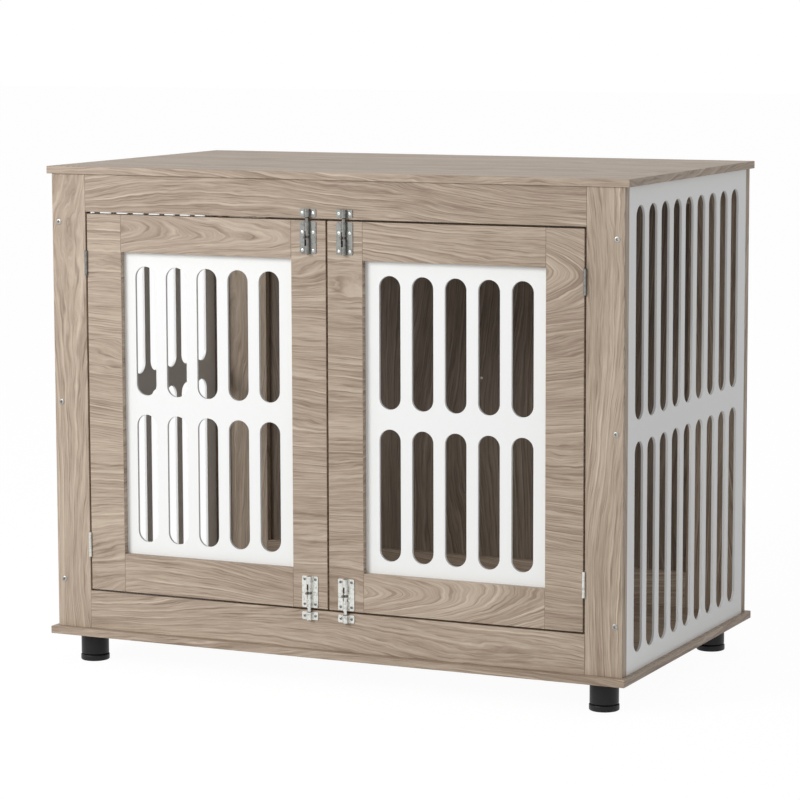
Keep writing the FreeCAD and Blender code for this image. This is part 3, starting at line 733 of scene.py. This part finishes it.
def slotted_panel(node, body, name, tree, material, look, row, upright):
    """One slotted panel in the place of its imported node.

    row holds the numbers of its slots, and upright turns the flat sheet into its plane.
    """
    low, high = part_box(node)
    size = high - low
    flat_length = max(size.x, size.y)
    thickness = min(size.x, size.y)
    source = mesh_object(name + "_flat", bpy.data.meshes.new(name + "_flat"))
    values = {"Length": flat_length, "Height": size.z, "Thickness": thickness,
              "Slot width": look.slot_width, "Arc steps": look.arc_steps,
              "Finish": material, **row}
    with_tree(source, tree, values)
    lip = source.modifiers.new("Lip", "BEVEL")
    lip.width = look.lip
    lip.segments = 2
    lip.limit_method = "ANGLE"
    lip.angle_limit = math.radians(50)
    lip.harden_normals = True
    centre = (low + high) / 2
    place = (Matrix.Translation(centre) @ upright
             @ Matrix.Translation((0.0, 0.0, -thickness / 2)))
    piece = baked(name, source, place)
    settle(piece, body, "white_panel", node)


# Screws


def recess(kind, width, reach):
    """How far a screw's recess reaches from the middle, as a function of the turn."""
    if kind == "hexagon":
        sixth = math.radians(60)
        return lambda turn: width / 2 / math.cos((turn + sixth / 2) % sixth - sixth / 2)
    quarter = math.radians(90)

    def arm(turn):
        off = abs((turn + quarter / 2) % quarter - quarter / 2)
        return min(reach / math.cos(off), width / 2 / max(math.sin(off), 1e-6))
    return arm


def screw_mesh(name, head, crown, cone, shank, depth, shape, recess_depth):
    """One screw that points up out of its seat at the origin: its head with the recess
    on top, the countersink under it, the shank and its point.

    The shares are of the recess's reach, the head's radius and the screw's depth.
    """
    recess_floor, flat_top, rim_top, shank_end = 0.92, 0.80, 0.93, 0.80
    segments = 48
    turns = [math.tau * n / segments for n in range(segments)]
    rise = crown * 0.5
    reach = [shape(turn) for turn in turns]
    rows = [[(recess_floor * r, crown - recess_depth) for r in reach],
            [(r, crown) for r in reach],
            [(max(head * flat_top, r * 1.05), crown) for r in reach]]
    rim = ((head * rim_top, crown - rise * 0.35), (head, crown - rise), (head, 0.0),
           (shank, -cone), (shank, -depth * shank_end))
    rows += [[spot] * segments for spot in rim]
    work = bmesh.new()
    rings = [[work.verts.new((r * math.cos(t), r * math.sin(t), z))
              for t, (r, z) in zip(turns, row)] for row in rows]
    tip = work.verts.new((0.0, 0.0, -depth))
    floor = work.verts.new((0.0, 0.0, crown - recess_depth))
    for n in range(segments):
        after = (n + 1) % segments
        work.faces.new((floor, rings[0][n], rings[0][after]))
        work.faces.new((tip, rings[-1][after], rings[-1][n]))
        for one, two in zip(rings, rings[1:]):
            work.faces.new((one[n], two[n], two[after], one[after]))
    bmesh.ops.recalc_face_normals(work, faces=work.faces)
    return finish_mesh(work, name)


def seat_of(points, crown):
    """Where a screw's head sits, and the way it looks out, from its solid's points."""
    low = Vector([min(p[n] for p in points) for n in range(3)])
    high = Vector([max(p[n] for p in points) for n in range(3)])
    size, middle = high - low, (low + high) / 2
    along = max(range(3), key=lambda n: size[n])
    close = 0.05 * MM

    def spread(end):
        near = [p for p in points if abs(p[along] - end) < close]
        return max((p - middle)[n] for p in near for n in range(3) if n != along)
    top = high[along] if spread(high[along]) > spread(low[along]) else low[along]
    out = Vector((0.0, 0.0, 0.0))
    out[along] = math.copysign(1.0, top - middle[along])
    seat = middle.copy()
    seat[along] = top
    return seat - out * crown, out, size[along] - crown


def screws_tree():
    """A screw on every seat, each turned by chance about its own axis."""
    tree = bpy.data.node_groups.new("Screws on their seats", "GeometryNodeTree")
    group_sockets(tree, {"Seats": "Geometry", "Screw": "Object", "Turn seed": "Int",
                         "Finish": "Material"}, {"Geometry": "Geometry"})
    given = add(tree, "NodeGroupInput").outputs
    screw = add(tree, "GeometryNodeObjectInfo", {"Object": given["Screw"]})
    out = add(tree, "GeometryNodeInputNamedAttribute", {"Name": "out"},
              data_type="FLOAT_VECTOR")
    upright = add(tree, "FunctionNodeAlignRotationToVector", {"Vector": out.outputs[0]},
                  axis="Z")
    chance = add(tree, "FunctionNodeRandomValue", {"Seed": given["Turn seed"]},
                 data_type="FLOAT")
    twist = add(tree, "ShaderNodeCombineXYZ",
                {2: math_node(tree, "MULTIPLY", chance.outputs[1], math.tau)})
    twist = add(tree, "FunctionNodeEulerToRotation", {0: twist.outputs[0]})
    turned = add(tree, "FunctionNodeRotateRotation",
                 {0: upright.outputs[0], 1: twist.outputs[0]}, rotation_space="LOCAL")
    placed = add(tree, "GeometryNodeInstanceOnPoints",
                 {"Points": given["Seats"], "Instance": screw.outputs["Geometry"],
                  "Rotation": turned.outputs[0]})
    solid = add(tree, "GeometryNodeRealizeInstances", {0: placed.outputs[0]})
    solid = add(tree, "GeometryNodeSetMaterial",
                {"Geometry": solid.outputs[0], "Material": given["Finish"]})
    add(tree, "NodeGroupOutput", {0: solid.outputs[0]})
    return tree


def screws(node, body, name, tree, material, look, seed, socketed=False):
    """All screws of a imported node, with a hexagon socket or a cross in their heads."""
    crown = look.socket_crown if socketed else look.cross_crown
    seats = [seat_of(points, crown) for points in solids_of(node)]
    mesh = bpy.data.meshes.new(name + "_seats")
    mesh.from_pydata([seat for seat, _, _ in seats], [], [])
    ways = mesh.attributes.new("out", "FLOAT_VECTOR", "POINT")
    for item, (_, out, _) in zip(ways.data, seats):
        item.vector = out
    depth = seats[0][2]
    if socketed:
        flat_cone = 0.01 * MM
        shape = recess("hexagon", look.socket_width, 0.0)
        one = screw_mesh(name + "_one", look.socket_head, crown, flat_cone,
                         look.socket_shank, depth, shape, look.socket_depth)
    else:
        reach = look.cross_head * 0.62
        shape = recess("cross", look.cross_width, reach)
        one = screw_mesh(name + "_one", look.cross_head, crown, look.cross_cone,
                         look.cross_shank, depth, shape, look.cross_depth)
    sample = mesh_object(name + "_one", one)
    source = mesh_object(name + "_seats", mesh)
    with_tree(source, tree, {"Screw": sample, "Turn seed": seed, "Finish": material})
    piece = baked(name, source)
    bpy.data.objects.remove(sample)
    settle(piece, body, "screw_steel", node)


# Operators


class CRATE_OT_boards(bpy.types.Operator):
    """Give every board its printed woodgrain, along the way that it was cut"""

    bl_idname = "crate.boards"
    bl_label = "Boards"

    def execute(self, context):
        look = context.scene.crate_wood
        figure = figure_group(look)
        # tone is the print's tone, and for the back stiles also painted light and shade.
        for number, (board, (grain, tone)) in enumerate(BOARDS.items(), start=1):
            dress(board, woodgrain(f"Woodgrain {board}", figure, grain, number, look, tone,
                                   heart=HEARTS.get(board)))
        # The back panel's shade dims its print as painted shade for the dark inside of the
        # crate.
        dress("back_panel", woodgrain("Woodgrain back_panel", figure, grain="z", place_no=0.5,
                                      look=look, tone=-0.1, shade=look.back_painted_shade))
        return {"FINISHED"}


class CRATE_OT_dowels(bpy.types.Operator):
    """Give the hidden dowels their raw beech"""

    bl_idname = "crate.dowels"
    bl_label = "Dowels"

    def execute(self, context):
        beech = raw_beech()
        for node in ("cabinet_dowels", "left_door_dowels", "right_door_dowels"):
            dress(node, beech)
        return {"FINISHED"}


class CRATE_OT_panels(bpy.types.Operator):
    """Make the four white slotted panels, with rounded lips on their slots"""

    bl_idname = "crate.panels"
    bl_label = "Slotted panels"

    def execute(self, context):
        look = context.scene.crate_panels
        tree = panel_tree()
        white = white_laminate(look)
        facing_front = Matrix.Rotation(math.radians(90), 4, "X")
        facing_side = Matrix.Rotation(math.radians(90), 4, "Z") @ facing_front
        rows = {place: {size.title(): getattr(look, f"{place}_{size}")
                        for size in ("slots", "pitch", "bottom", "top", "web")}
                for place in ("door", "side")}
        for side in SIDES:
            shift = -look.left_shift if side == "left" else 0.0
            slotted_panel(f"{side}_door_panel", f"{side}_door", f"{side}_door_grille", tree,
                          white, look, {**rows["door"], "Shift": shift}, facing_front)
            forward = look.left_side_shift if side == "left" else look.side_shift
            slotted_panel(f"side_panel_{side}", "cabinet", f"{side}_side_grille", tree,
                          white, look, {**rows["side"], "Shift": -forward}, facing_side)
        return {"FINISHED"}


class CRATE_OT_fittings(bpy.types.Operator):
    """Plate the hinges and the barrel bolts with zinc"""

    bl_idname = "crate.fittings"
    bl_label = "Hinges and barrel bolts"

    def execute(self, context):
        look = context.scene.crate_metal
        # The upper hinges and bolts get painted shade through upper.
        rolled = plated_steel("Zinc plated sheet", look.zinc, look.roughness,
                              brush=(900.0, 900.0, 60.0), upper=look.upper_painted_shade)
        drawn = plated_steel("Zinc plated rod", look.zinc, look.roughness - 0.06,
                             brush=(1400.0, 1400.0, 40.0), upper=look.upper_painted_shade)
        for node in ("hinge_frame_leaves", "left_hinge_leaves", "right_hinge_leaves",
                     "bolt_keepers", "left_bolt_plates", "right_bolt_plates"):
            dress(node, rolled)
        # The knobs' darker zinc is painted shade.
        knob_zinc_painted_shade = plated_steel("Zinc plated knob", look.knob, look.roughness,
                            brush=(700.0, 700.0, 700.0))
        dress("hinge_pins", drawn)
        for side in SIDES:
            for level in ("top", "bottom"):
                dress(f"{side}_{level}_bolt", drawn)
                dress(f"{side}_{level}_knob", knob_zinc_painted_shade)
        return {"FINISHED"}


class CRATE_OT_screws(bpy.types.Operator):
    """Make the socket screws of the frames and the small cross screws"""

    bl_idname = "crate.screws"
    bl_label = "Screws"

    def execute(self, context):
        look = context.scene.crate_metal
        tree = screws_tree()
        grain = (700.0, 700.0, 700.0)
        # The lower small screws are darkened with painted shade.
        plated = plated_steel("Zinc plated screw", look.screw, look.roughness - 0.08, grain,
                              lower=look.lower_screw_painted_shade)
        dull = plated_steel("Zinc plated socket screw", look.socket, look.roughness, grain)
        screws("frame_screws", "cabinet", "socket_screws", tree, dull, look, seed=1,
               socketed=True)
        small = (("brace_screws", "cabinet"), ("foot_screws", "cabinet"),
                 ("frame_hardware_screws", "cabinet"), ("left_door_screws", "left_door"),
                 ("right_door_screws", "right_door"))
        for seed, (node, body) in enumerate(small, start=2):
            name = node.replace("_screws", "_cross_screws")
            screws(node, body, name, tree, plated, look, seed)
        return {"FINISHED"}


class CRATE_OT_feet(bpy.types.Operator):
    """Mould the four black sleeves and their adjusters"""

    bl_idname = "crate.feet"
    bl_label = "Levelling feet"

    def execute(self, context):
        look = context.scene.crate_feet
        plastic = black_plastic(look)
        low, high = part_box("foot_sleeves")
        sleeves = bmesh.new()
        for corner in CORNERS:
            node = f"{corner}_foot_adjuster"
            ring_low, ring_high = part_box(node)
            middle = (ring_low + ring_high) / 2
            radius = (ring_high.x - ring_low.x) / 2
            adjuster = self.adjuster(look, radius, ring_high.z, middle)
            piece = mesh_object(f"{corner}_adjuster", finish_mesh(adjuster, node + "_turned"))
            piece.data.materials.append(plastic)
            settle(piece, f"{corner}_adjuster", "black_plastic", node)
            sleeve_radius = high.x - middle.x if "right" in corner else middle.x - low.x
            sleeve = self.sleeve(look, sleeve_radius, low.z, high.z, middle)
            part = finish_mesh(sleeve, "sleeve_part")
            sleeves.from_mesh(part)
            bpy.data.meshes.remove(part)
        piece = mesh_object("moulded_sleeves", finish_mesh(sleeves, "moulded_sleeves"))
        piece.data.materials.append(plastic)
        settle(piece, "cabinet", "black_plastic", "foot_sleeves")
        return {"FINISHED"}

    @staticmethod
    def adjuster(look, radius, top, middle):
        """The ring that stands on the floor, with its stem."""
        profile = [(0.0, 0.0), (radius - look.chamfer, 0.0), (radius, look.chamfer),
                   (radius, look.ring - look.chamfer), (radius - look.chamfer, look.ring),
                   (look.stem, look.ring), (look.stem, top), (0.0, top)]
        return lathe(rounded(profile, look.corner), middle)

    @staticmethod
    def sleeve(look, radius, bottom, top, middle):
        """The sleeve under the board, open below, with the boss for the stem."""
        roof = top - look.top_wall
        boss_in = look.stem + look.stem_gap
        boss_out = boss_in + look.wall
        boss_end = bottom + look.boss_lift
        profile = [(0.0, top), (radius, top), (radius, bottom + look.chamfer),
                   (radius - look.chamfer, bottom), (radius - look.wall, bottom),
                   (radius - look.wall, roof), (boss_out, roof), (boss_out, boss_end),
                   (boss_in, boss_end), (boss_in, roof), (0.0, roof)]
        return lathe(rounded(profile, look.corner), middle)


def seen(tree):
    """1 for the rays that look at a surface, and 0 for those that light the object."""
    ray = add(tree, "ShaderNodeLightPath").outputs
    return math_node(tree, "MAXIMUM", ray["Is Camera Ray"],
                     math_node(tree, "MAXIMUM", ray["Is Glossy Ray"],
                               ray["Is Transmission Ray"]))


class CRATE_OT_stage(bpy.types.Operator):
    """Set up the pale floor, the soft studio light and the camera"""

    bl_idname = "crate.stage"
    bl_label = "Stage"

    def execute(self, context):
        look = context.scene.crate_stage
        context.scene.view_settings.view_transform = "Standard"
        self.floor(look)
        self.world(context, look)
        self.key_light(look)
        self.camera(context)
        return {"FINISHED"}

    @staticmethod
    def floor(look):
        """A pale floor that keeps the object's shadow."""
        level, roughness = 0.86, 0.9
        half = look.floor_size / 2
        mesh = bpy.data.meshes.new("floor")
        mesh.from_pydata([(-half, -half, 0), (half, -half, 0), (half, half, 0),
                          (-half, half, 0)], [], [(0, 1, 2, 3)])
        floor = mesh_object("floor", mesh)
        material, tree, shader, _ = new_material("Pale floor")
        shader.inputs["Base Color"].default_value = (*grey(level), 1.0)
        shader.inputs["Roughness"].default_value = roughness
        glow = add(tree, "ShaderNodeEmission",
                   {"Color": (*look.floor, 1.0), "Strength": look.floor_light})
        share = math_node(tree, "MULTIPLY", seen(tree), 1.0 - look.shadow)
        both = add(tree, "ShaderNodeMixShader",
                   {0: share, 1: shader.outputs[0], 2: glow.outputs[0]})
        feed(tree, tree.nodes["Material Output"].inputs["Surface"], both.outputs[0])
        mesh.materials.append(material)

    @staticmethod
    def world(context, look):
        """White to look at, and a dimmer, even light on the object."""
        world = bpy.data.worlds.new("Studio")
        context.scene.world = world
        world.use_nodes = True
        tree = world.node_tree
        level = stretched(tree, seen(tree), look.sky, 1.0)
        back = tree.nodes["Background"]
        back.inputs["Color"].default_value = (1.0, 1.0, 1.0, 1.0)
        feed(tree, back.inputs["Strength"], level)

    @staticmethod
    def key_light(look):
        """A soft square lamp at the front left, above the object, turned to its middle."""
        lamp = bpy.data.lights.new("Key", "AREA")
        lamp.energy = look.key
        lamp.size = look.key_size
        key = bpy.data.objects.new("Key", lamp)
        bpy.context.scene.collection.objects.link(key)
        key.location = look.key_place
        middle = (Vector(CAD_BOX[0]) + Vector(CAD_BOX[1])) / 2
        key.rotation_euler = (middle - key.location).to_track_quat("-Z", "Y").to_euler()

    @staticmethod
    def camera(context):
        """The photograph's view: from the right of the front, a little above the top."""
        data = bpy.data.cameras.new("Camera")
        data.sensor_width = 36.0
        data.lens = CAMERA_LENS
        data.clip_end = 200.0
        camera = bpy.data.objects.new("Camera", data)
        context.scene.collection.objects.link(camera)
        yaw, pitch, roll = (math.radians(angle) for angle in CAMERA_TURN)
        turn = (Matrix.Rotation(yaw, 4, "Z") @ Matrix.Rotation(math.radians(90) + pitch, 4, "X")
                @ Matrix.Rotation(roll, 4, "Z"))
        camera.matrix_world = Matrix.Translation(CAMERA_PLACE) @ turn
        context.scene.camera = camera


class CRATE_PT_table(bpy.types.Panel):
    """The steps that finish the crate table"""

    bl_label = "Crate table"
    bl_space_type = "VIEW_3D"
    bl_region_type = "UI"
    bl_category = "Crate table"

    def draw(self, context):
        for operator in OPERATORS:
            self.layout.operator(operator.bl_idname)
        for group in LOOKS:
            look = getattr(context.scene, group)
            for name in look.bl_rna.properties.keys():
                if name not in ("rna_type", "name"):
                    self.layout.prop(look, name)


OPERATORS = (CRATE_OT_boards, CRATE_OT_dowels, CRATE_OT_panels, CRATE_OT_fittings,
             CRATE_OT_screws, CRATE_OT_feet, CRATE_OT_stage)
LOOKS = {"crate_wood": WoodLook, "crate_panels": PanelLook, "crate_metal": MetalLook,
         "crate_feet": FootLook, "crate_stage": StageLook}
CLASSES = (*LOOKS.values(), *OPERATORS, CRATE_PT_table)


def register():
    """Register the classes and give the scene its settings."""
    for cls in CLASSES:
        bpy.utils.register_class(cls)
    for name, group in LOOKS.items():
        setattr(bpy.types.Scene, name, PointerProperty(type=group))


def unregister():
    """Take the settings and the classes away again."""
    for name in LOOKS:
        delattr(bpy.types.Scene, name)
    for cls in reversed(CLASSES):
        bpy.utils.unregister_class(cls)


def main():
    """Build every piece in order."""
    register()
    for step in ("boards", "dowels", "panels", "fittings", "screws", "feet", "stage"):
        getattr(bpy.ops.crate, step)()


if __name__ == "__main__":
    main()
